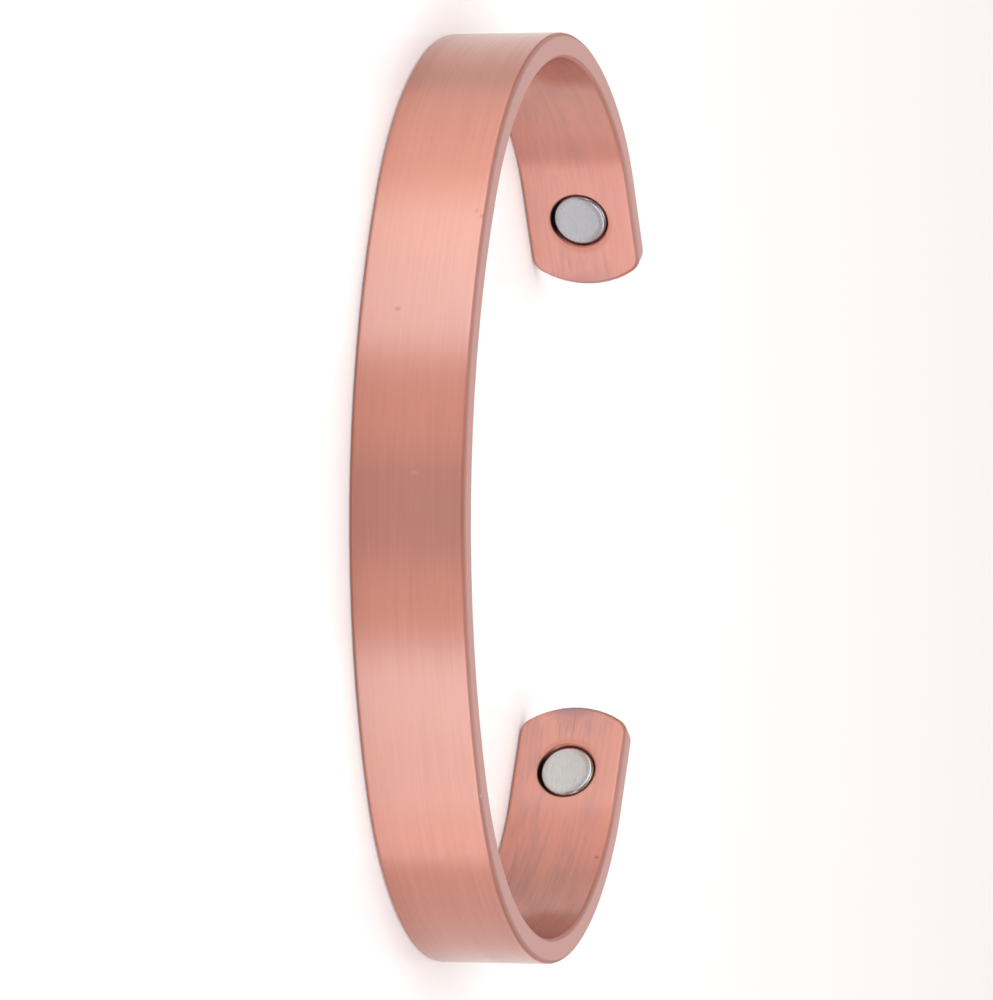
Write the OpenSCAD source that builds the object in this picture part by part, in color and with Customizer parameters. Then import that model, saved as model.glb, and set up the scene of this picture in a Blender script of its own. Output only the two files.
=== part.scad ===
// A bent copper cuff that lies on its edge, with a disc magnet seated in a round pocket
// on the inside of each end. The wrist's axis is Z, the back of the band faces -Y and
// the opening between the two ends faces +Y. Lengths are millimetres, angles degrees.

/* [Strip] */
// Width of the strip, from one long edge to the other
band_w = 8; // [7:0.5:14]
// Thickness of the strip
band_t = 1.75; // [1.5:0.05:2.5]
// Rounding of the strip's edges
edge_r = 0.33; // [0.1:0.01:0.5]

/* [Back] */
// Outer radius of the shallow bend across the back
back_r = 42.5; // [32:0.5:60]
// Angle that the back bends through, from its middle to the left side
left_back_angle = 30; // [20:0.5:40]
// Angle that the back bends through, from its middle to the right side
right_back_angle = 27.5; // [20:0.5:40]

/* [Sides] */
// Outer radius of the bend at the left side
left_side_r = 23.75; // [16:0.25:30]
// Angle that the left side bends through
left_side_angle = 98; // [85:1:112]
// Outer radius of the bend at the right side
right_side_r = 21.75; // [16:0.25:30]
// Angle that the right side bends through
right_side_angle = 112; // [85:1:116]

/* [Ends] */
// Outer radius of the short bend where each side runs into its flat end
end_r = 15; // [8:0.5:40]
// Angle of the short bend of the left end
left_end_angle = 20; // [2:1:24]
// Angle of the short bend of the right end
right_end_angle = 12; // [2:1:24]
// Flat stretch between that bend and the pocket's rim
flat_margin = 0.05; // [0:0.05:4]
// How far the arc across each tip bulges past the tip's two corners
tip_bulge = 1.5; // [0.5:0.1:3]
// Rounding of the two corners of each tip
corner_r = 1.4; // [0.8:0.1:2.5]

/* [Magnets] */
// Diameter of each magnet
magnet_d = 3.9; // [2.5:0.1:4.4]
// Thickness of each magnet
magnet_t = 1; // [0.6:0.05:1.05]
// Rounding of each magnet's edges
magnet_edge_r = 0.25; // [0.1:0.05:0.25]
// Distance from the tip to the magnet's middle
magnet_inset = 5.25; // [4.5:0.05:7]

/* [Pockets] */
// Clearance between a magnet and its pocket's wall
wall_gap = 0.1; // [0.05:0.05:0.3]
// Clearance between a magnet and its pocket's floor
floor_gap = 0.05; // [0.02:0.01:0.1]
// How far a magnet's face lies below the inner face of the band
face_recess = 0.05; // [0:0.05:0.2]
// Rounding of the pocket's rim
rim_r = 0.25; // [0.05:0.05:0.25]

/* [Hidden] */
$fn = 96;

// Largest angle between two cross-sections of a bend
facet_angle = 3.5;
// Cross-sections round each corner of a tip
corner_steps = 7;
// Cross-sections from a corner's rounding to the middle of the tip
tip_steps = 5;
// Points round a quarter circle of the strip's edge, past the first one
edge_steps = 4;
// How far a cutting shape reaches past the face that it opens
over = 1;
// How far the rounding of a pocket's rim stops short of running level with the face
rim_lift = 0.01;

// The bends of each half in order from the back's middle, each an outer radius and an angle
left_bends = [[back_r, left_back_angle], [left_side_r, left_side_angle], [end_r, left_end_angle]];
right_bends = [[back_r, right_back_angle], [right_side_r, right_side_angle], [end_r, right_end_angle]];

// Pocket in plan and in depth, round the magnet that it holds
pocket_r = magnet_d / 2 + wall_gap;
pocket_depth = floor_gap + magnet_t + face_recess;

// Flat stretch at each end, as long as its pocket needs
flat_l = magnet_inset + pocket_r + rim_r + flat_margin;

// The tip's arc runs through the corners before they are rounded, and meets each
// corner's rounding on the line through their two centres
tip_r = (pow(band_w / 2, 2) + pow(tip_bulge, 2)) / (2 * tip_bulge);
corner_z = band_w / 2 - corner_r;
tip_lead = sqrt(pow(tip_r - corner_r, 2) - pow(corner_z, 2));
tip_angle = atan2(corner_z, tip_lead);
shoulder_x = flat_l - tip_r + tip_lead;

// Length of a bend along its outer face
function bend_l(bend) = bend[0] * bend[1] * PI / 180;

// Length, heading and place on the outer face after the first n bends
function run_to(bends, n) = n == 0 ? 0 : run_to(bends, n - 1) + bend_l(bends[n - 1]);
function heading(bends, n) = n == 0 ? 0 : heading(bends, n - 1) + bends[n - 1][1];
function place(bends, n) =
    n == 0 ? [0, 0]
    : let (r = bends[n - 1][0], from = heading(bends, n - 1), to = heading(bends, n))
        place(bends, n - 1) + r * [sin(to) - sin(from), cos(from) - cos(to)];

// Half of the overall length on one side, where the side bend faces straight outward
function reach(bends) = place(bends, 1)[0] + bends[1][0] * (1 - sin(heading(bends, 1)));

// Depth of one half, up to the rounded outer edge of its tip
function depth(bends) =
    let (h = heading(bends, 3))
        place(bends, 3)[1] + (flat_l - edge_r) * sin(h) + edge_r * (1 + cos(h));

// Middle of the whole outline, which lies over the origin
middle = [reach(right_bends) - reach(left_bends), max(depth(left_bends), depth(right_bends))] / 2;

// Point of the strip seen along its width, at a length from the back's middle and a depth
// below the outer face
function on_strip(bends, length, below, n = 0) =
    let (h = heading(bends, n), start = place(bends, n))
        n == len(bends) ? start + length * [cos(h), sin(h)] + below * [-sin(h), cos(h)]
        : length > bend_l(bends[n]) ? on_strip(bends, length - bend_l(bends[n]), below, n + 1)
        : let (r = bends[n][0], to = h + length / r * 180 / PI)
            start + r * [-sin(h), cos(h)] + (r - below) * [sin(to), -cos(to)];

// Points round the strip's rounded edge from its outer to its inner face, each an inset and a depth
rim = [
    for (k = [0 : edge_steps])
        let (a = 90 * k / edge_steps) edge_r * [1 - sin(a), 1 - cos(a)],
    for (k = [0 : edge_steps])
        let (a = 90 * k / edge_steps) [0, band_t] + edge_r * [1 - cos(a), sin(a) - 1]
];

// Places of the edge of one half from the back's middle to its tip, each a length, a height
// and the way that the edge faces there
function edge(bends) =
    let (
        flat_start = run_to(bends, len(bends)),
        corner = [flat_start + shoulder_x, band_w - corner_r],
        tip_centre = [flat_start + flat_l - tip_r, band_w / 2]
    ) [
        for (n = [0 : len(bends) - 1])
            let (steps = ceil(bends[n][1] / facet_angle))
                for (k = [0 : steps - 1])
                    [run_to(bends, n) + bend_l(bends[n]) * k / steps, band_w, 0, 1],
        [flat_start, band_w, 0, 1],
        for (k = [0 : corner_steps])
            let (a = 90 - (90 - tip_angle) * k / corner_steps, way = [cos(a), sin(a)])
                concat(corner + corner_r * way, way),
        for (k = [1 : tip_steps])
            let (a = tip_angle * (1 - k / (tip_steps + 0.5)), way = [cos(a), sin(a)])
                concat(tip_centre + tip_r * way, way)
    ];

// Point of the rim at one place of the edge, where side is -1 on the left, and the same
// point on the strip's other edge
function rim_point(bends, side, at, q) =
    let (p = on_strip(bends, at[0] - q[0] * at[2], q[1])) [side * p[0], p[1], at[1] - q[0] * at[3]];
function across(p) = [p[0], p[1], band_w - p[2]];

// Closed ring of points round the strip at one place of the edge
function ring(bends, side, at) =
    let (upper = [for (q = rim) rim_point(bends, side, at, q)])
        concat(upper, [for (i = [len(upper) - 1 : -1 : 0]) across(upper[i])]);

// Moves its children from the start of a bend to its end
module past(r, angle) {
    translate([0, r, 0]) rotate(angle) translate([0, -r, 0]) children();
}

// Moves its children from the back's middle past the first n bends
module along(bends, n) {
    if (n == 0) children();
    else along(bends, n - 1) past(bends[n - 1][0], bends[n - 1][1]) children();
}

// Brings the outline's middle over the origin
module centred() {
    translate([-middle[0], -middle[1], 0]) children();
}

// Moves its children to the axis of a pocket, on its floor and with +Z towards the wrist
module at_pocket(bends, side) {
    centred() mirror([side < 0 ? 1 : 0, 0, 0]) along(bends, len(bends))
        translate([flat_l - magnet_inset, band_t - pocket_depth, band_w / 2])
            rotate([-90, 0, 0]) children();
}

// Bent strip with rounded edges, swept from the left tip to the right one
module strip() {
    left_edge = edge(left_bends);
    rings = concat(
        [for (j = [len(left_edge) - 1 : -1 : 1]) ring(left_bends, -1, left_edge[j])],
        [for (at = edge(right_bends)) ring(right_bends, 1, at)]
    );
    m = 2 * len(rim);
    last = (len(rings) - 1) * m;
    polyhedron(
        points = [for (r = rings, p = r) p],
        faces = concat(
            [for (j = [0 : m : last - m], k = [0 : m - 1])
                let (next = (k + 1) % m) [j + k, j + next, j + m + next, j + m + k]],
            [for (k = [0 : m / 2 - 2]) [m - 1 - k, m - 2 - k, k + 1, k]],
            [for (k = [0 : m / 2 - 2]) [last + k, last + k + 1, last + m - 2 - k, last + m - 1 - k]]
        )
    );
}

// The pocket's space, with the flare of its rounded rim
module pocket() {
    rotate_extrude() {
        square([pocket_r, pocket_depth + over]);
        translate([pocket_r, pocket_depth - rim_r + rim_lift]) difference() {
            square([rim_r, rim_r + over]);
            translate([rim_r, 0]) circle(r = rim_r);
        }
    }
}

// Disc with rounded edges, a little above the floor of its pocket
module magnet() {
    translate([0, 0, floor_gap]) rotate_extrude() {
        square([magnet_d / 2 - magnet_edge_r, magnet_t]);
        translate([0, magnet_edge_r]) square([magnet_d / 2, magnet_t - 2 * magnet_edge_r]);
        for (y = [magnet_edge_r, magnet_t - magnet_edge_r])
            translate([magnet_d / 2 - magnet_edge_r, y]) circle(r = magnet_edge_r);
    }
}

module band() {
    color("#d4917c") difference() {
        centred() strip();
        at_pocket(left_bends, -1) pocket();
        at_pocket(right_bends, 1) pocket();
    }
}

module left_magnet() {
    color("#bcbabc") at_pocket(left_bends, -1) magnet();
}

module right_magnet() {
    color("#c8c4bc") at_pocket(right_bends, 1) magnet();
}

band();
left_magnet();
right_magnet();
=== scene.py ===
"""A copper cuff with a magnet seated near each end: its finishes and its studio.

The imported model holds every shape, in metres, and stays as it is. The operators below give
each piece its finish, and build the floor, the lights and the camera round it.
"""

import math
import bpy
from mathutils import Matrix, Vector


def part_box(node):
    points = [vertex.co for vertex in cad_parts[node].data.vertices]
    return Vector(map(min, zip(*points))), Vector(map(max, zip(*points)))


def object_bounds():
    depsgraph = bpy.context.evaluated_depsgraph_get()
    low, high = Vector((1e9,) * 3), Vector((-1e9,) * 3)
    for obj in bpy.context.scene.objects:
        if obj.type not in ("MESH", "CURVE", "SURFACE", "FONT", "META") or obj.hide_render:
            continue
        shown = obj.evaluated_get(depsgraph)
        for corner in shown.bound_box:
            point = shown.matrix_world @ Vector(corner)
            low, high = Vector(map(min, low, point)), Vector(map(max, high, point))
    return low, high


bl_info = {
    "name": "Copper Cuff",
    "version": (1, 0, 0),
    "blender": (4, 5, 0),
    "location": "3D View > Sidebar > Copper Cuff",
    "description": "Finishes a copper cuff with two disc magnets and builds its studio",
    "category": "Object",
}

from typing import NamedTuple

import bmesh
import bpy
from bpy.props import FloatProperty, FloatVectorProperty, PointerProperty
from mathutils import Matrix, Vector

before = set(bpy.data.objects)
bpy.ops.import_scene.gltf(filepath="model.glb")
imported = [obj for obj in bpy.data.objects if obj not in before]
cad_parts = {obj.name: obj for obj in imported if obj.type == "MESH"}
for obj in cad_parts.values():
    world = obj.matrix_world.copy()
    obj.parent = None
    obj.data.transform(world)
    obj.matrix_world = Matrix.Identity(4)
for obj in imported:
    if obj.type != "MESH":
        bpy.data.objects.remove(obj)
CAD_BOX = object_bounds()

# Lengths are in metres and angles in radians, unless a comment says otherwise
MM = 0.001
BAND = "band"
MAGNETS = ("left_magnet", "right_magnet")

LEFT_SIDE, RIGHT_SIDE = (corner[0] for corner in CAD_BOX)
LOW_EDGE, HIGH_EDGE = (corner.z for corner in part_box(BAND))
# Turns an angle round the wrist's axis into a length along the strip
MEAN_RADIUS = (RIGHT_SIDE - LEFT_SIDE) / 2

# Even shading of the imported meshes. Corners closer than this are joined, and faces that meet
# at less than this angle are one flat
SEAM_GAP = 2e-6
FLAT_ANGLE = math.radians(0.4)
# Faces of this area and more, in square metres, lead the normals in full, and a narrower one
# by this power of its share of it
WIDE_FACE = 8e-7
NARROW_POWER = 3.0

# Brushed copper
GRAIN_NOISE = {"Scale": 1.0, "Detail": 3.0, "Roughness": 0.6}
# Stretch of the noise over which the grain goes from 0 to 1
GRAIN_STRETCH = (0.32, 0.68)
# The broad lines: their length and width over those of the fine ones, and their part in the grain
BROAD_LENGTH = 3
BROAD_WIDTH = 8
BROAD_SHARE = 0.15
# Roughness that the fine lines and the patina add
LINE_ROUGHNESS = 0.06
PATINA_ROUGHNESS = 0.12
# How strongly the brushing draws reflections out, and its turn to the tangent, in full turns
ANISOTROPY = 0.9
BRUSH_TURN = 0.25
# The lacquer's weight and roughness
COAT = 0.4
COAT_ROUGHNESS = 0.12

# The inside and its patina. How far the surface faces out of the cuff, 1 at most, where the
# inside starts and where it is full
INSIDE_FACING = (-0.15, -0.4)
# Painted light: how far the inside is mixed towards a lighter copper, on the left and on the right
INSIDE_LIGHT_SHARES = (0.5, 0.2)
# Share of the patina beside the edge that the cuff rests on, and beside the other one
PATINA_SIDES = (1.3, 0.6)
# Distances from the nearer long edge where the patina is most worn and where it is whole, and
# the share that is left where it is worn
WORN_STRETCH = (0.4 * MM, 1.4 * MM)
WORN_SHARE = 0.3
# The broad streaks: their length and width over those of the fine ones, and their part
BROAD_STREAK_LENGTH = 2
BROAD_STREAK_WIDTH = 3
BROAD_STREAK_SHARE = 0.4
# Length, depth and width of the clouds that the streaks gather in
CLOUD = (4 * MM, 4 * MM, 1.5 * MM)
CLOUD_NOISE = {"Scale": 1.0, "Detail": 2.0}
# Sum of streaks and clouds where the patina starts and where it is full
STREAK_STRETCH = (0.8, 1.45)
# How much more patina a tip holds than its arm
TIP_SHARE = 1.6
# Patina between the streaks at the very end of a tip
END_SHARE = 0.7

# Pockets. From a magnet's middle to its pocket's floor, from the floor to the pocket's mouth, and
# from the magnet's middle to the tip
POCKET_FLOOR = 0.55 * MM
POCKET_DEPTH = 1.1 * MM
TIP_INSET = 5.25 * MM
# How far the surface faces out of the cuff where it is the outer face, which the painted shade
# round the pockets doesn't reach, and where it is no longer part of it
OUTER_FACING = (0.7, 0.5)
# The painted shade on the rounding of a rim: its shift towards the tip and its strength
RIM_SHADING_SHIFT = 0.25 * MM
RIM_SHADING_SHARE = 0.5
# Shifts from a pocket's mouth to the painted shade on the rim's rounding, and to the side that the
# cuff rests on, where that painted shade stays
RIM_POCKET_SHADE_SHIFT = Vector((0, 0, -0.1 * MM))
LOW_SIDE_SHIFT = Vector((0, 0, -2.2 * MM))
# Roughness of the painted shade in the pockets
POCKET_SHADE_ROUGHNESS = 0.8

# Soft-edged spots: the reach of each along the three axes, and the share of it that is its core
TIP_SPOT = ((4 * MM, 4 * MM, 4 * MM), 0.2)
END_SPOT = ((1.6 * MM, 1.6 * MM, 3.4 * MM), 0.3)
# Painted shade on the rounding of a pocket's rim
RIM_SHADING_SPOT = ((2.5 * MM, 2.5 * MM, 2.5 * MM), 0.85)
# Nothing in this spot takes the long edges' finish
POCKET_SPOT = ((2.7 * MM, 2.7 * MM, 2.7 * MM), 0.85)
# Painted shade over the lower half of a pocket's walls, and over its rim on the side the cuff rests on
POCKET_SHADE_SPOT = ((2.15 * MM, 2.15 * MM, 2.15 * MM), 0.955)
RIM_POCKET_SHADE_SPOT = ((2.15 * MM, 2.15 * MM, 2.15 * MM), 0.94)
LOW_SIDE_SPOT = ((2.3 * MM, 2.3 * MM, 2.3 * MM), 0.3)
# The crowned part of a magnet's face
CROWN_SPOT = ((2 * MM, 2 * MM, 2 * MM), 0.72)

# How upright the surface's normal is where an edge's rounding starts and is fully matt, and where
# the edge's flat face starts and is full
EDGE_START = (0.1, 0.5)
EDGE_FACE = (0.6, 0.95)

# Small marks on the band: each one's middle, its reach along the three axes, and its strength
MARK_CORE = 0.2
DARK_MARKS = (
    (Vector((-18.5, -19.5, 7.3)) * MM, Vector((0.35, 0.35, 0.2)) * MM, 0.25),
    (Vector((-18.1, -19.7, 7.7)) * MM, Vector((0.3, 0.3, 0.25)) * MM, 0.4),
    (Vector((-11.8, -22.2, 2.7)) * MM, Vector((0.2, 0.2, 0.3)) * MM, 0.4),
    (Vector((25.2, 13.5, 7.4)) * MM, Vector((0.25, 0.25, 0.25)) * MM, 0.5),
)
# Pale marks, and one painted highlight: the spot on the high edge is a painted glint
PALE_MARKS_AND_GLINT = (
    (Vector((-0.9, -24.1, 4.5)) * MM, Vector((0.2, 0.2, 0.4)) * MM, 0.12),
    (Vector((20.4, -19.3, 8)) * MM, Vector((0.2, 0.2, 0.2)) * MM, 0.6),
)

# Rub marks on the nickel plate, and the roughness that they add
RUB_LENGTH = 2 * MM
RUB_WIDTH = 0.15 * MM
RUB_ROUGHNESS = 0.02
BLACK = (0, 0, 0)

# The studio. Softboxes stand this far off
SOFTBOX_DISTANCE = 0.45
# Lowest and highest elevation of the softboxes at the sides and behind, in degrees
SIDE_REACH = (1, 27)
BACK_REACH = (17, 50)
# The square softbox overhead
TOP_HEIGHT = 0.5
TOP_WIDTH = 0.6
ROOM_TINT = (1, 0.8, 0.75)
BACK_TINT = (1, 0.95, 0.95)
FLOOR_ROUGHNESS = 0.2
# The sensor's height in millimetres
SENSOR_HEIGHT = 36
NEAR_CLIP = 0.01


class Softbox(NamedTuple):
    """An upright softbox that faces the cuff, from one azimuth to another, in degrees.

    Its brightness is a share of one of the studio's settings, and falls to the part in faded at
    its end. Its tint is a colour, or the name of the setting that holds the colour.
    """

    name: str
    start: float
    end: float
    setting: str
    tint: object
    share: float = 1.0
    faded: float = 1.0
    reach: tuple = SIDE_REACH


SOFTBOXES = (
    Softbox("left softbox", -29, -45, "left_light", "cool"),
    Softbox("left middle softbox", -45, -60, "left_light", (0.82, 1.12, 1.2), share=1.02),
    Softbox("left wing", -60, -106, "left_light", (1, 0.93, 0.86), share=0.66, faded=0.35),
    Softbox("right softbox", 26, 42, "right_light", "cool"),
    Softbox("right middle softbox", 42, 60, "right_light", (0.81, 1.1, 1.2), share=0.85),
    Softbox("right wing", 60, 82, "right_light", (0.94, 1.03, 1.1), share=0.72),
    Softbox("right far wing", 82, 125, "right_light", (1, 0.76, 0.66), share=0.22, faded=0.3),
    Softbox("left board", -10, -29, "boards", "warm"),
    Softbox("right board", 10, 26, "boards", "warm"),
    Softbox("left back board", -130, -180, "back_light", BACK_TINT, reach=BACK_REACH),
    Softbox("right back board", 130, 180, "back_light", BACK_TINT, reach=BACK_REACH),
)


# Sizes and colours that a user would change


class CopperFinish(bpy.types.PropertyGroup):
    """Satin copper, brushed along the strip and lacquered."""

    bright: FloatVectorProperty(
        name="Bright copper", description="Colour of freshly brushed copper",
        default=(0.585, 0.264, 0.207), size=3, subtype="COLOR", min=0, max=1,
    )
    deep: FloatVectorProperty(
        name="Deep copper", description="Colour in the brush lines",
        default=(0.555, 0.246, 0.190), size=3, subtype="COLOR", min=0, max=1,
    )
    # Painted light: a lighter copper that the inside is mixed towards, for light on the inside
    inside: FloatVectorProperty(
        name="Inside", description="Colour that the less worn copper of the inside tends to",
        default=(0.78, 0.37, 0.30), size=3, subtype="COLOR", min=0, max=1,
    )
    patina: FloatVectorProperty(
        name="Patina", description="Colour of the purplish brown streaks on the inside",
        default=(0.36, 0.21, 0.22), size=3, subtype="COLOR", min=0, max=1,
    )
    # Painted shade: a deeper, redder copper laid on the rounding of each pocket's rim, towards the tip
    rim: FloatVectorProperty(
        name="Pocket rim", description="Colour of the deeper copper beside the pockets' rims",
        default=(0.52, 0.19, 0.12), size=3, subtype="COLOR", min=0, max=1,
    )
    # Painted shade: the near-black that darkens the pockets' walls and the low side of their rims
    pocket_shade: FloatVectorProperty(
        name="Pocket shade", description="Colour of the dark residue in the pockets",
        default=(0.015, 0.01, 0.012), size=3, subtype="COLOR", min=0, max=1,
    )
    roughness: FloatProperty(
        name="Roughness", description="Roughness between the brush lines",
        default=0.30, min=0, max=1, subtype="FACTOR",
    )
    dark_mark: FloatVectorProperty(
        name="Dark marks", description="Colour of the few small dark marks",
        default=(0.28, 0.08, 0.06), size=3, subtype="COLOR", min=0, max=1,
    )
    # In part a painted highlight: the pale spot on the high edge is a painted glint
    pale_mark_and_glint: FloatVectorProperty(
        name="Pale marks and glint", description="Colour of the few small pale marks",
        default=(0.85, 0.62, 0.55), size=3, subtype="COLOR", min=0, max=1,
    )
    edge: FloatVectorProperty(
        name="Edge", description="Colour of the unpolished long edges",
        default=(0.51, 0.325, 0.30), size=3, subtype="COLOR", min=0, max=1,
    )
    edge_roughness: FloatProperty(
        name="Edge roughness", description="Roughness of the long edges and their rounding",
        default=0.6, min=0, max=1, subtype="FACTOR",
    )
    line_width: FloatProperty(
        name="Line width", description="Width of one brush line",
        default=0.12 * MM, min=0, precision=5, unit="LENGTH",
    )
    line_length: FloatProperty(
        name="Line length", description="Length of one brush line",
        default=9 * MM, min=0, precision=4, unit="LENGTH",
    )
    line_depth: FloatProperty(
        name="Line depth", description="Depth of the brush lines",
        default=0.002 * MM, min=0, precision=6, unit="LENGTH",
    )
    streak_width: FloatProperty(
        name="Streak width", description="Width of one streak of patina",
        default=0.14 * MM, min=0, precision=5, unit="LENGTH",
    )
    streak_length: FloatProperty(
        name="Streak length", description="Length of one streak of patina",
        default=3 * MM, min=0, precision=4, unit="LENGTH",
    )
    left_patina: FloatProperty(
        name="Left patina", description="Share of patina inside the left arm",
        default=0.22, min=0, max=1, subtype="FACTOR",
    )
    right_patina: FloatProperty(
        name="Right patina", description="Share of patina inside the right arm",
        default=0.45, min=0, max=1, subtype="FACTOR",
    )


class NickelFinish(bpy.types.PropertyGroup):
    """Satin nickel plate on the magnets."""

    left_plate: FloatVectorProperty(
        name="Left plate", description="Colour of the left magnet's plate",
        default=(0.41, 0.405, 0.425), size=3, subtype="COLOR", min=0, max=1,
    )
    # Painted light: the right plate is the left one's nickel, painted lighter and warmer
    right_plate: FloatVectorProperty(
        name="Right plate", description="Colour of the right magnet's plate, a little yellowed",
        default=(0.47, 0.455, 0.435), size=3, subtype="COLOR", min=0, max=1,
    )
    rubbed: FloatProperty(
        name="Rubbed", description="How much the rub marks darken the plate",
        default=0.03, min=0, max=1, subtype="FACTOR",
    )
    roughness: FloatProperty(
        name="Roughness", description="Roughness of the plate",
        default=0.26, min=0, max=1, subtype="FACTOR",
    )
    crown: FloatProperty(
        name="Crown", description="How far the middle of the face stands over its worn rim",
        default=0.05 * MM, min=0, precision=6, unit="LENGTH",
    )


class CuffStudio(bpy.types.PropertyGroup):
    """The floor, the lights and the camera."""

    floor: FloatVectorProperty(
        name="Floor", description="Colour of the floor",
        default=(0.92, 0.92, 0.92), size=3, subtype="COLOR", min=0, max=1,
    )
    floor_width: FloatProperty(
        name="Floor width", description="Width of the floor",
        default=4.0, min=0.5, unit="LENGTH",
    )
    floor_glow: FloatProperty(
        name="Floor glow", description="Brightness of the light that comes up through the floor",
        default=0.2, min=0,
    )
    ambient: FloatProperty(
        name="Ambient light", description="Brightness of the room round the studio",
        default=0.27, min=0,
    )
    top_light: FloatProperty(
        name="Top light", description="Brightness of the softbox overhead",
        default=1.6, min=0,
    )
    left_light: FloatProperty(
        name="Left light", description="Brightness of the softboxes on the left",
        default=2.35, min=0,
    )
    right_light: FloatProperty(
        name="Right light", description="Brightness of the softboxes on the right",
        default=2.25, min=0,
    )
    back_light: FloatProperty(
        name="Back light", description="Brightness of the two boards behind the opening",
        default=0.5, min=0,
    )
    boards: FloatProperty(
        name="Boards", description="Brightness of the two boards beside the camera",
        default=0.6, min=0,
    )
    cool: FloatVectorProperty(
        name="Softboxes", description="Colour of the light from the two brightest softboxes",
        default=(0.75, 1.1, 1.32), size=3, subtype="COLOR", min=0, max=2,
    )
    warm: FloatVectorProperty(
        name="Warm boards", description="Colour of the light from the two boards",
        default=(1.0, 0.72, 0.6), size=3, subtype="COLOR", min=0, max=1,
    )
    azimuth: FloatProperty(
        name="Azimuth", description="Turn of the camera from straight behind the cuff's back",
        default=math.radians(1.54), subtype="ANGLE", unit="ROTATION",
    )
    elevation: FloatProperty(
        name="Elevation", description="Height of the camera over the floor, as an angle",
        default=math.radians(15.37), subtype="ANGLE", unit="ROTATION",
    )
    roll: FloatProperty(
        name="Roll", description="Turn of the picture, with the wrist's axis across it at 90 degrees",
        default=math.radians(90.16), subtype="ANGLE", unit="ROTATION",
    )
    aim: FloatVectorProperty(
        name="Aim", description="Point in the middle of the picture",
        default=(0.3 * MM, -1.83 * MM, 4 * MM), size=3, subtype="XYZ", unit="LENGTH",
    )
    distance: FloatProperty(
        name="Distance", description="From the camera to the point that it aims at",
        default=0.4747, min=0.1, unit="LENGTH",
    )
    lens: FloatProperty(
        name="Focal length", description="Focal length for a sensor 36 mm high, in millimetres",
        default=247.87, min=1,
    )


# Building blocks for node trees


def add_node(tree, kind, sockets=None, **settings):
    """Adds a node, and sets or links the inputs that sockets names."""
    node = tree.nodes.new(kind)
    for name, value in settings.items():
        setattr(node, name, value)
    for name, value in (sockets or {}).items():
        if isinstance(value, bpy.types.NodeSocket):
            tree.links.new(value, node.inputs[name])
        else:
            node.inputs[name].default_value = value
    return node


def maths(tree, operation, first, *others):
    """The result of a Math node, or of a row of them that take in one more number each."""
    for other in others or (0.0,):
        first = add_node(tree, "ShaderNodeMath", {0: first, 1: other}, operation=operation).outputs[0]
    return first


def vector_maths(tree, operation, first, second=(0, 0, 0)):
    """The result of a Vector Math node, a vector or, for LENGTH and DOT_PRODUCT, a number."""
    node = add_node(tree, "ShaderNodeVectorMath", {0: first, 1: second}, operation=operation)
    return node.outputs["Value" if operation in ("LENGTH", "DOT_PRODUCT") else "Vector"]


def remap(tree, value, low, high, to_low=0.0, to_high=1.0, smooth=False):
    """Value carried from the stretch low to high onto the stretch to_low to to_high."""
    sockets = {"Value": value, "From Min": low, "From Max": high, "To Min": to_low, "To Max": to_high}
    curve = "SMOOTHSTEP" if smooth else "LINEAR"
    return add_node(tree, "ShaderNodeMapRange", sockets, interpolation_type=curve).outputs["Result"]


def split(tree, vector):
    """The three parts of a vector, by axis."""
    return add_node(tree, "ShaderNodeSeparateXYZ", {"Vector": vector}).outputs


def join(tree, x, y, z=0.0):
    """A vector from its three parts."""
    return add_node(tree, "ShaderNodeCombineXYZ", {"X": x, "Y": y, "Z": z}).outputs[0]


def colour(tree, value):
    """A colour that other colours are mixed with."""
    node = tree.nodes.new("ShaderNodeRGB")
    node.outputs[0].default_value = (*value, 1)
    return node.outputs[0]


def mix_colours(tree, share, first, second):
    """First where share is 0, second where it is 1."""
    sockets = {"Factor": share, 6: first, 7: second}
    return add_node(tree, "ShaderNodeMix", sockets, data_type="RGBA").outputs[2]


def blend(tree, share, first, second):
    """First where share is 0, second where it is 1, for numbers."""
    return add_node(tree, "ShaderNodeMix", {"Factor": share, 2: first, 3: second}).outputs[0]


def new_group(name, inputs, outputs, kind="ShaderNodeTree"):
    """A node group with named inputs and outputs, and the sockets of its two end nodes."""
    group = bpy.data.node_groups.new(name, kind)
    for socket, value in inputs.items():
        group.interface.new_socket(socket, in_out="INPUT", socket_type=value)
    for socket, value in outputs.items():
        group.interface.new_socket(socket, in_out="OUTPUT", socket_type=value)
    start = group.nodes.new("NodeGroupInput")
    end = group.nodes.new("NodeGroupOutput")
    return group, start.outputs, end.inputs


# Effects that the pieces share


def build_strip_coordinates():
    """Group: a place on the cuff as its length round the wrist, its distance out and its height."""
    group, given, result = new_group(
        "Strip coordinates", {"Position": "NodeSocketVector"}, {"Coordinates": "NodeSocketVector"}
    )
    axes = split(group, given["Position"])
    angle = maths(group, "ARCTAN2", axes["X"], maths(group, "MULTIPLY", axes["Y"], -1.0))
    length = maths(group, "MULTIPLY", angle, MEAN_RADIUS)
    out = vector_maths(group, "LENGTH", join(group, axes["X"], axes["Y"]))
    group.links.new(join(group, length, out, axes["Z"]), result["Coordinates"])
    return group


def build_brushed_grain():
    """Group: fine lines along the strip, from 0 to 1."""
    group, given, result = new_group(
        "Brushed grain",
        {"Coordinates": "NodeSocketVector", "Length": "NodeSocketFloat", "Width": "NodeSocketFloat"},
        {"Grain": "NodeSocketFloat"},
    )
    line = join(group, given["Length"], given["Length"], given["Width"])
    lines = vector_maths(group, "DIVIDE", given["Coordinates"], line)
    noise = add_node(group, "ShaderNodeTexNoise", {"Vector": lines, **GRAIN_NOISE})
    grain = remap(group, noise.outputs["Fac"], *GRAIN_STRETCH)
    group.links.new(grain, result["Grain"])
    return group


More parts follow.
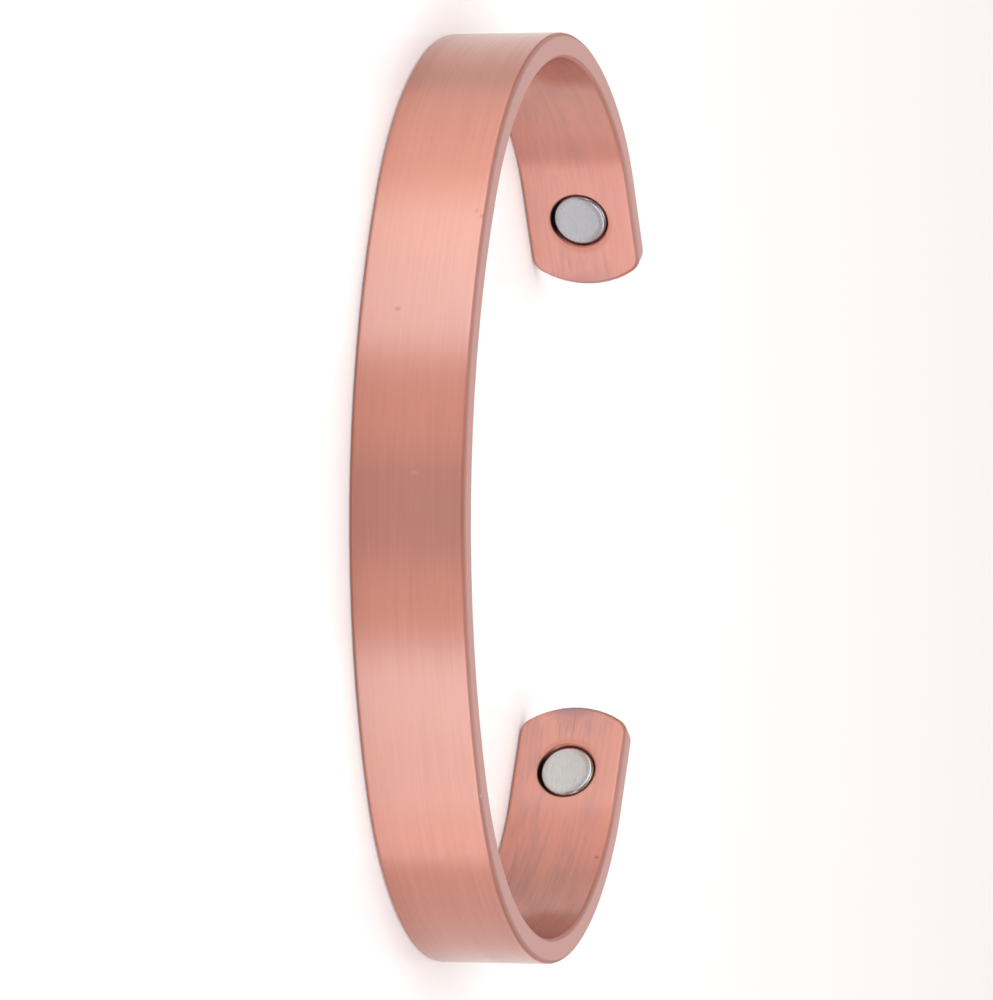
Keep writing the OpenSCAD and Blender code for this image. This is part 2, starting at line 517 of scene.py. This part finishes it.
def build_spot():
    """Group: a soft-edged spot, 1 in its core and 0 from its reach outward."""
    group, given, result = new_group(
        "Spot",
        {
            "Position": "NodeSocketVector",
            "Centre": "NodeSocketVector",
            "Reach": "NodeSocketVector",
            "Core": "NodeSocketFloat",
        },
        {"Mask": "NodeSocketFloat"},
    )
    offset = vector_maths(group, "SUBTRACT", given["Position"], given["Centre"])
    distance = vector_maths(group, "LENGTH", vector_maths(group, "DIVIDE", offset, given["Reach"]))
    mask = remap(group, distance, given["Core"], 1.0, 1.0, 0.0, smooth=True)
    group.links.new(mask, result["Mask"])
    return group


def build_even_shading():
    """Group: normals that all wide faces lead alike, and narrow ones hardly at all."""
    mesh = {"Geometry": "NodeSocketGeometry"}
    group, given, result = new_group("Even shading", mesh, mesh, "GeometryNodeTree")
    area = group.nodes.new("GeometryNodeInputMeshFaceArea").outputs[0]
    share = maths(group, "MINIMUM", maths(group, "DIVIDE", area, WIDE_FACE), 1.0)
    flat = group.nodes.new("GeometryNodeInputNormal").outputs["Normal"]
    weighted = vector_maths(group, "MULTIPLY", flat, maths(group, "POWER", share, NARROW_POWER))
    by_face = add_node(
        group, "GeometryNodeFieldOnDomain", {"Value": weighted}, data_type="FLOAT_VECTOR", domain="FACE"
    ).outputs[0]
    even = vector_maths(group, "NORMALIZE", by_face)
    smooth = add_node(group, "GeometryNodeSetShadeSmooth", {"Geometry": given[0]}).outputs[0]
    shaded = add_node(
        group, "GeometryNodeSetMeshNormal", {"Mesh": smooth, "Custom Normal": even},
        mode="FREE", domain="POINT",
    )
    group.links.new(shaded.outputs[0], result[0])
    return group


# The shared node groups, by a short name, once they are built
GROUPS = {}


def shared_groups():
    """The shared effects by name, built once."""
    if not GROUPS:
        GROUPS["strip"] = build_strip_coordinates()
        GROUPS["grain"] = build_brushed_grain()
        GROUPS["spot"] = build_spot()
        GROUPS["shading"] = build_even_shading()
    return GROUPS


class Surface:
    """A metal material while it is built: its nodes, its shader and its places on the cuff."""

    def __init__(self, name):
        self.material = bpy.data.materials.new(name)
        self.material.use_nodes = True
        self.tree = self.material.node_tree
        self.shader = self.tree.nodes["Principled BSDF"]
        self.fix("Metallic", 1.0)
        coordinates = self.tree.nodes.new("ShaderNodeTexCoord").outputs
        self.place = coordinates["Object"]
        self.normal = coordinates["Normal"]
        self.axes = split(self.tree, self.place)
        self.strip = self.effect("strip", {"Position": self.place})

    def effect(self, name, sockets):
        """The result of a shared effect that is placed here with its own values."""
        group = shared_groups()[name]
        return add_node(self.tree, "ShaderNodeGroup", sockets, node_tree=group).outputs[0]

    def grain(self, length, width):
        """Lines of that length and width along the strip, from 0 to 1."""
        return self.effect("grain", {"Coordinates": self.strip, "Length": length, "Width": width})

    def spot(self, centre, shape):
        """A soft-edged spot round a point, with a shape that holds its reach and its core."""
        reach, core = shape
        sockets = {"Position": self.place, "Centre": centre, "Reach": reach, "Core": core}
        return self.effect("spot", sockets)

    def tint(self, skin, share, shade):
        """Skin where share is 0, and the plain colour shade where it is 1."""
        return mix_colours(self.tree, share, skin, colour(self.tree, shade))

    def bump(self, height, depth):
        """A normal that rises by depth where height is 1."""
        sockets = {"Height": height, "Distance": depth}
        return add_node(self.tree, "ShaderNodeBump", sockets).outputs["Normal"]

    def feed(self, name, value):
        """Leads a value that changes over the surface into one of the shader's inputs."""
        self.tree.links.new(value, self.shader.inputs[name])

    def fix(self, name, value):
        """Sets one of the shader's inputs to a value that is the same all over the surface."""
        self.shader.inputs[name].default_value = value


# Pieces


def shade_evenly(piece):
    """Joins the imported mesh's triangles, and lets its wide faces lead its normals."""
    seams = piece.modifiers.new("Joined seams", "WELD")
    seams.merge_threshold = SEAM_GAP
    flats = piece.modifiers.new("Joined flats", "DECIMATE")
    flats.decimate_type = "DISSOLVE"
    flats.angle_limit = FLAT_ANGLE
    piece.modifiers.new("Even shading", "NODES").node_group = shared_groups()["shading"]


def middle_of(node):
    """The middle of a node's box."""
    low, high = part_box(node)
    return (low + high) / 2


def pocket_of(magnet):
    """The middles of a pocket's floor and mouth, and the way along the band to the tip."""
    middle = middle_of(magnet)
    widest = max(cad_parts[magnet].data.polygons, key=lambda face: face.area)
    outward = widest.normal.copy()
    if outward.x * middle.x < 0:
        outward.negate()
    onward = outward.cross(Vector((0, 0, 1)))
    if onward.x * middle.x > 0:
        onward.negate()
    floor = middle + outward * POCKET_FLOOR
    return floor, floor - outward * POCKET_DEPTH, onward


def facing_out(surface):
    """How far the surface faces out of the cuff, from -1 on the inside to 1 on the outer face."""
    away = join(surface.tree, surface.axes["X"], surface.axes["Y"])
    away = vector_maths(surface.tree, "NORMALIZE", away)
    return vector_maths(surface.tree, "DOT_PRODUCT", away, surface.normal)


def patina_mask(surface, finish, inside):
    """Streaks of patina on the inside, thicker at the tips and worn off beside the long edges."""
    tree, height = surface.tree, surface.axes["Z"]
    arms = (finish.left_patina, finish.right_patina)
    amount = remap(tree, surface.axes["X"], LEFT_SIDE, RIGHT_SIDE, *arms)
    haze = 0.0
    for magnet, share in zip(MAGNETS, arms):
        _, mouth, onward = pocket_of(magnet)
        end = mouth + onward * TIP_INSET
        tip = maths(tree, "MULTIPLY", surface.spot(end, TIP_SPOT), TIP_SHARE * share)
        amount = maths(tree, "ADD", amount, tip)
        haze = maths(tree, "MAXIMUM", surface.spot(end, END_SPOT), haze)

    fine = surface.grain(finish.streak_length, finish.streak_width)
    broad = surface.grain(
        BROAD_STREAK_LENGTH * finish.streak_length, BROAD_STREAK_WIDTH * finish.streak_width
    )
    clouds = vector_maths(tree, "DIVIDE", surface.strip, CLOUD)
    clouds = add_node(tree, "ShaderNodeTexNoise", {"Vector": clouds, **CLOUD_NOISE}).outputs["Fac"]
    streaks = maths(tree, "ADD", blend(tree, BROAD_STREAK_SHARE, fine, broad), clouds)
    streaks = remap(tree, streaks, *STREAK_STRETCH)
    streaks = maths(tree, "MAXIMUM", streaks, maths(tree, "MULTIPLY", haze, END_SHARE))

    from_low = maths(tree, "SUBTRACT", height, LOW_EDGE)
    from_high = maths(tree, "SUBTRACT", HIGH_EDGE, height)
    from_edge = maths(tree, "MINIMUM", from_low, from_high)
    kept = remap(tree, from_edge, *WORN_STRETCH, WORN_SHARE, 1.0)
    lower = remap(tree, height, LOW_EDGE, HIGH_EDGE, *PATINA_SIDES)
    return maths(tree, "MULTIPLY", inside, amount, kept, lower, streaks)


def pocket_masks(surface):
    """Spots in and round the pockets: painted shade on their rims, all that is beside them, and painted
    shade in them.
    """
    tree = surface.tree
    rims, beside, pocket_shade = [], [], []
    for magnet in MAGNETS:
        floor, mouth, onward = pocket_of(magnet)
        rims.append(surface.spot(mouth + onward * RIM_SHADING_SHIFT, RIM_SHADING_SPOT))
        beside.append(surface.spot(mouth, POCKET_SPOT))
        on_rim = surface.spot(mouth + RIM_POCKET_SHADE_SHIFT, RIM_POCKET_SHADE_SPOT)
        low_side = surface.spot(mouth + LOW_SIDE_SHIFT, LOW_SIDE_SPOT)
        pocket_shade.append(surface.spot(floor, POCKET_SHADE_SPOT))
        pocket_shade.append(maths(tree, "MULTIPLY", on_rim, low_side))
    return (maths(tree, "MAXIMUM", *masks) for masks in (rims, beside, pocket_shade))


def add_marks(surface, skin, marks, shade):
    """Skin with small marks of one colour."""
    for centre, reach, strength in marks:
        mark = surface.spot(centre, (reach, MARK_CORE))
        skin = surface.tint(skin, maths(surface.tree, "MULTIPLY", mark, strength), shade)
    return skin


def copper_material(finish):
    """Brushed copper: streaky colour, patina and painted light inside, painted shade in and round the
    pockets, a coat of lacquer.
    """
    surface = Surface("Brushed copper")
    tree = surface.tree
    fine = surface.grain(finish.line_length, finish.line_width)
    broad = surface.grain(BROAD_LENGTH * finish.line_length, BROAD_WIDTH * finish.line_width)
    lines = blend(tree, BROAD_SHARE, fine, broad)
    facing = facing_out(surface)
    inside = remap(tree, facing, *INSIDE_FACING)
    patina = patina_mask(surface, finish, inside)
    rims, beside, pocket_shade = pocket_masks(surface)
    not_outer = remap(tree, facing, *OUTER_FACING)
    pocket_shade = maths(tree, "MULTIPLY", pocket_shade, not_outer)

    # The long edges and their rounding are left unpolished, and the pockets aren't part of them
    upright = maths(tree, "ABSOLUTE", split(tree, surface.normal)["Z"])
    upright = maths(tree, "MULTIPLY", upright, maths(tree, "SUBTRACT", 1.0, beside))
    matt = remap(tree, upright, *EDGE_START, smooth=True)
    edge_face = remap(tree, upright, *EDGE_FACE, smooth=True)

    skin = mix_colours(tree, lines, colour(tree, finish.bright), colour(tree, finish.deep))
    painted_inside_light = remap(tree, surface.axes["X"], LEFT_SIDE, RIGHT_SIDE, *INSIDE_LIGHT_SHARES)
    # Painted light: the inside is mixed towards a lighter copper
    skin = surface.tint(skin, maths(tree, "MULTIPLY", inside, painted_inside_light), finish.inside)
    skin = surface.tint(skin, patina, finish.patina)
    # Painted shade on each pocket's rim, towards the tip
    skin = surface.tint(skin, maths(tree, "MULTIPLY", rims, not_outer, RIM_SHADING_SHARE), finish.rim)
    # Painted shade in the pockets and on the low side of their rims
    skin = surface.tint(skin, pocket_shade, finish.pocket_shade)
    skin = surface.tint(skin, edge_face, finish.edge)
    skin = add_marks(surface, skin, DARK_MARKS, finish.dark_mark)
    # The pale marks include a painted glint on the high edge
    skin = add_marks(surface, skin, PALE_MARKS_AND_GLINT, finish.pale_mark_and_glint)
    surface.feed("Base Color", skin)

    line_roughness = maths(tree, "MULTIPLY", fine, LINE_ROUGHNESS)
    patina_roughness = maths(tree, "MULTIPLY", patina, PATINA_ROUGHNESS)
    rough = maths(tree, "ADD", line_roughness, patina_roughness, finish.roughness)
    rough = blend(tree, matt, rough, finish.edge_roughness)
    # The painted shade in the pockets is matt and has no lacquer
    surface.feed("Roughness", blend(tree, pocket_shade, rough, POCKET_SHADE_ROUGHNESS))
    bare = maths(tree, "MAXIMUM", matt, pocket_shade)
    surface.feed("Coat Weight", blend(tree, bare, COAT, 0.0))
    surface.fix("Coat Roughness", COAT_ROUGHNESS)
    surface.feed("Normal", surface.bump(lines, finish.line_depth))

    # The strip is brushed along its length, and its long edges are sanded straight across
    around = add_node(tree, "ShaderNodeTangent", direction_type="RADIAL", axis="Z").outputs[0]
    surface.feed("Tangent", mix_colours(tree, matt, around, (1, 0, 0, 1)))
    surface.fix("Anisotropic", ANISOTROPY)
    surface.fix("Anisotropic Rotation", BRUSH_TURN)
    return surface.material


def nickel_material(finish):
    """Satin nickel plate with faint rub marks and a soft rim."""
    surface = Surface("Nickel plate")
    tree = surface.tree
    rubs = surface.grain(RUB_LENGTH, RUB_WIDTH)
    on_right = maths(tree, "GREATER_THAN", surface.axes["X"], 0.0)
    # Painted light: the right magnet's plate is a lighter, warmer copy of the left one's
    skin = surface.tint(colour(tree, finish.left_plate), on_right, finish.right_plate)
    skin = surface.tint(skin, maths(tree, "MULTIPLY", rubs, finish.rubbed), BLACK)
    surface.feed("Base Color", skin)
    rough = maths(tree, "MULTIPLY", rubs, RUB_ROUGHNESS)
    surface.feed("Roughness", maths(tree, "ADD", rough, finish.roughness))

    # Each face is a little crowned, from its worn rim to its flat middle
    crowns = [surface.spot(middle_of(magnet), CROWN_SPOT) for magnet in MAGNETS]
    surface.feed("Normal", surface.bump(maths(tree, "ADD", *crowns), finish.crown))
    return surface.material


# Studio


def direction(azimuth, elevation):
    """The way from the cuff to an azimuth and elevation. Azimuth 0 is -Y, and 90 degrees +X."""
    return Vector((
        math.sin(azimuth) * math.cos(elevation),
        -math.cos(azimuth) * math.cos(elevation),
        math.sin(elevation),
    ))


def lay_floor(studio):
    """A plain pale floor under the cuff, a little glossy."""
    half = studio.floor_width / 2
    mesh = bpy.data.meshes.new("floor")
    sheet = bmesh.new()
    corners = ((-half, -half, 0), (half, -half, 0), (half, half, 0), (-half, half, 0))
    sheet.faces.new([sheet.verts.new(corner) for corner in corners])
    sheet.to_mesh(mesh)
    sheet.free()
    floor = bpy.data.objects.new("floor", mesh)
    bpy.context.scene.collection.objects.link(floor)
    material = bpy.data.materials.new("Pale floor")
    material.use_nodes = True
    shader = material.node_tree.nodes["Principled BSDF"]
    shader.inputs["Base Color"].default_value = (*studio.floor, 1)
    shader.inputs["Roughness"].default_value = FLOOR_ROUGHNESS
    shader.inputs["Emission Color"].default_value = (1, 1, 1, 1)
    shader.inputs["Emission Strength"].default_value = studio.floor_glow
    mesh.materials.append(material)


def hang_light(name, width, height, brightness):
    """A rectangular light that the camera doesn't see, not yet in its place."""
    light = bpy.data.lights.new(name, "AREA")
    light.shape = "RECTANGLE"
    light.size = width
    light.size_y = height
    # Such a light's radiance is its power over four times its area
    light.energy = 4 * light.size * light.size_y * brightness
    hung = bpy.data.objects.new(name, light)
    hung.visible_camera = False
    bpy.context.scene.collection.objects.link(hung)
    return hung


def fade_along(light, first, last):
    """Fades a softbox along its width, between the shares of its strength at its two ends."""
    light.use_nodes = True
    tree = light.node_tree
    across = tree.nodes.new("ShaderNodeNewGeometry").outputs["Parametric"]
    strength = remap(tree, split(tree, across)["X"], 0.0, 1.0, first, last)
    tree.links.new(strength, tree.nodes["Emission"].inputs["Strength"])


def hang_softbox(softbox, studio):
    """Hangs an upright softbox, turned towards the cuff."""
    low, high = (SOFTBOX_DISTANCE * math.tan(math.radians(angle)) for angle in softbox.reach)
    half = math.radians(abs(softbox.end - softbox.start)) / 2
    width = 2 * SOFTBOX_DISTANCE * math.tan(half)
    brightness = softbox.share * getattr(studio, softbox.setting)
    hung = hang_light(softbox.name, width, high - low, brightness)
    tint = softbox.tint
    hung.data.color = getattr(studio, tint) if isinstance(tint, str) else tint
    if softbox.faded < 1:
        shares = (1.0, softbox.faded)
        fade_along(hung.data, *(shares if softbox.start < softbox.end else reversed(shares)))
    towards = direction(math.radians(softbox.start + softbox.end) / 2, 0)
    hung.location = towards * SOFTBOX_DISTANCE + Vector((0, 0, (high + low) / 2))
    hung.rotation_euler = towards.to_track_quat("Z", "Y").to_euler()


def light_studio(studio):
    """Soft light from overhead and round the cuff: cool softboxes, and warm boards between them."""
    world = bpy.data.worlds.new("Studio room")
    world.use_nodes = True
    background = world.node_tree.nodes["Background"]
    background.inputs["Color"].default_value = (*ROOM_TINT, 1)
    background.inputs["Strength"].default_value = studio.ambient
    bpy.context.scene.world = world
    bpy.context.scene.view_settings.view_transform = "Standard"
    top = hang_light("top softbox", TOP_WIDTH, TOP_WIDTH, studio.top_light)
    top.location = (0, 0, TOP_HEIGHT)
    for softbox in SOFTBOXES:
        hang_softbox(softbox, studio)


def set_camera(studio):
    """The camera behind the cuff's back, a little over the floor and turned on its side."""
    data = bpy.data.cameras.new("photo camera")
    data.sensor_fit = "VERTICAL"
    data.sensor_height = SENSOR_HEIGHT
    data.lens = studio.lens
    data.clip_start = NEAR_CLIP
    camera = bpy.data.objects.new("photo camera", data)
    back = direction(studio.azimuth, studio.elevation)
    camera.matrix_world = (
        Matrix.Translation(Vector(studio.aim) + back * studio.distance)
        @ back.to_track_quat("Z", "Y").to_matrix().to_4x4()
        @ Matrix.Rotation(studio.roll, 4, "Z")
    )
    bpy.context.scene.collection.objects.link(camera)
    bpy.context.scene.camera = camera


# Operators, one for each piece or group of like pieces and one for the stage


class FinishBand(bpy.types.Operator):
    """Gives the band its brushed copper"""

    bl_idname = "cuff.finish_band"
    bl_label = "Finish band"

    def execute(self, context):
        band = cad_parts[BAND]
        shade_evenly(band)
        band.material_slots[0].material = copper_material(context.scene.cuff_copper)
        return {"FINISHED"}


class FinishMagnets(bpy.types.Operator):
    """Gives the two magnets their nickel plate"""

    bl_idname = "cuff.finish_magnets"
    bl_label = "Finish magnets"

    def execute(self, context):
        plate = nickel_material(context.scene.cuff_nickel)
        for name in MAGNETS:
            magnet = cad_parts[name]
            shade_evenly(magnet)
            magnet.material_slots[0].material = plate
        return {"FINISHED"}


class BuildStudio(bpy.types.Operator):
    """Lays the floor, hangs the lights and sets the camera"""

    bl_idname = "cuff.build_studio"
    bl_label = "Build studio"

    def execute(self, context):
        studio = context.scene.cuff_studio
        lay_floor(studio)
        light_studio(studio)
        set_camera(studio)
        return {"FINISHED"}


class CuffPanel(bpy.types.Panel):
    """Lists the cuff's operators and what each one reads"""

    bl_idname = "VIEW3D_PT_copper_cuff"
    bl_label = "Copper Cuff"
    bl_space_type = "VIEW_3D"
    bl_region_type = "UI"
    bl_category = "Copper Cuff"

    def draw(self, context):
        for group, operator in STEPS:
            box = self.layout.box()
            settings = getattr(context.scene, group)
            for name in settings.__annotations__:
                box.prop(settings, name)
            box.operator(operator.bl_idname)


STEPS = (
    ("cuff_copper", FinishBand),
    ("cuff_nickel", FinishMagnets),
    ("cuff_studio", BuildStudio),
)
SETTINGS = {"cuff_copper": CopperFinish, "cuff_nickel": NickelFinish, "cuff_studio": CuffStudio}
CLASSES = (*SETTINGS.values(), FinishBand, FinishMagnets, BuildStudio, CuffPanel)


def register():
    for item in CLASSES:
        bpy.utils.register_class(item)
    for name, group in SETTINGS.items():
        setattr(bpy.types.Scene, name, PointerProperty(type=group))


def unregister():
    for name in SETTINGS:
        delattr(bpy.types.Scene, name)
    for item in reversed(CLASSES):
        bpy.utils.unregister_class(item)


def main():
    """Runs the operators in order."""
    register()
    bpy.ops.cuff.finish_band()
    bpy.ops.cuff.finish_magnets()
    bpy.ops.cuff.build_studio()


if __name__ == "__main__":
    main()
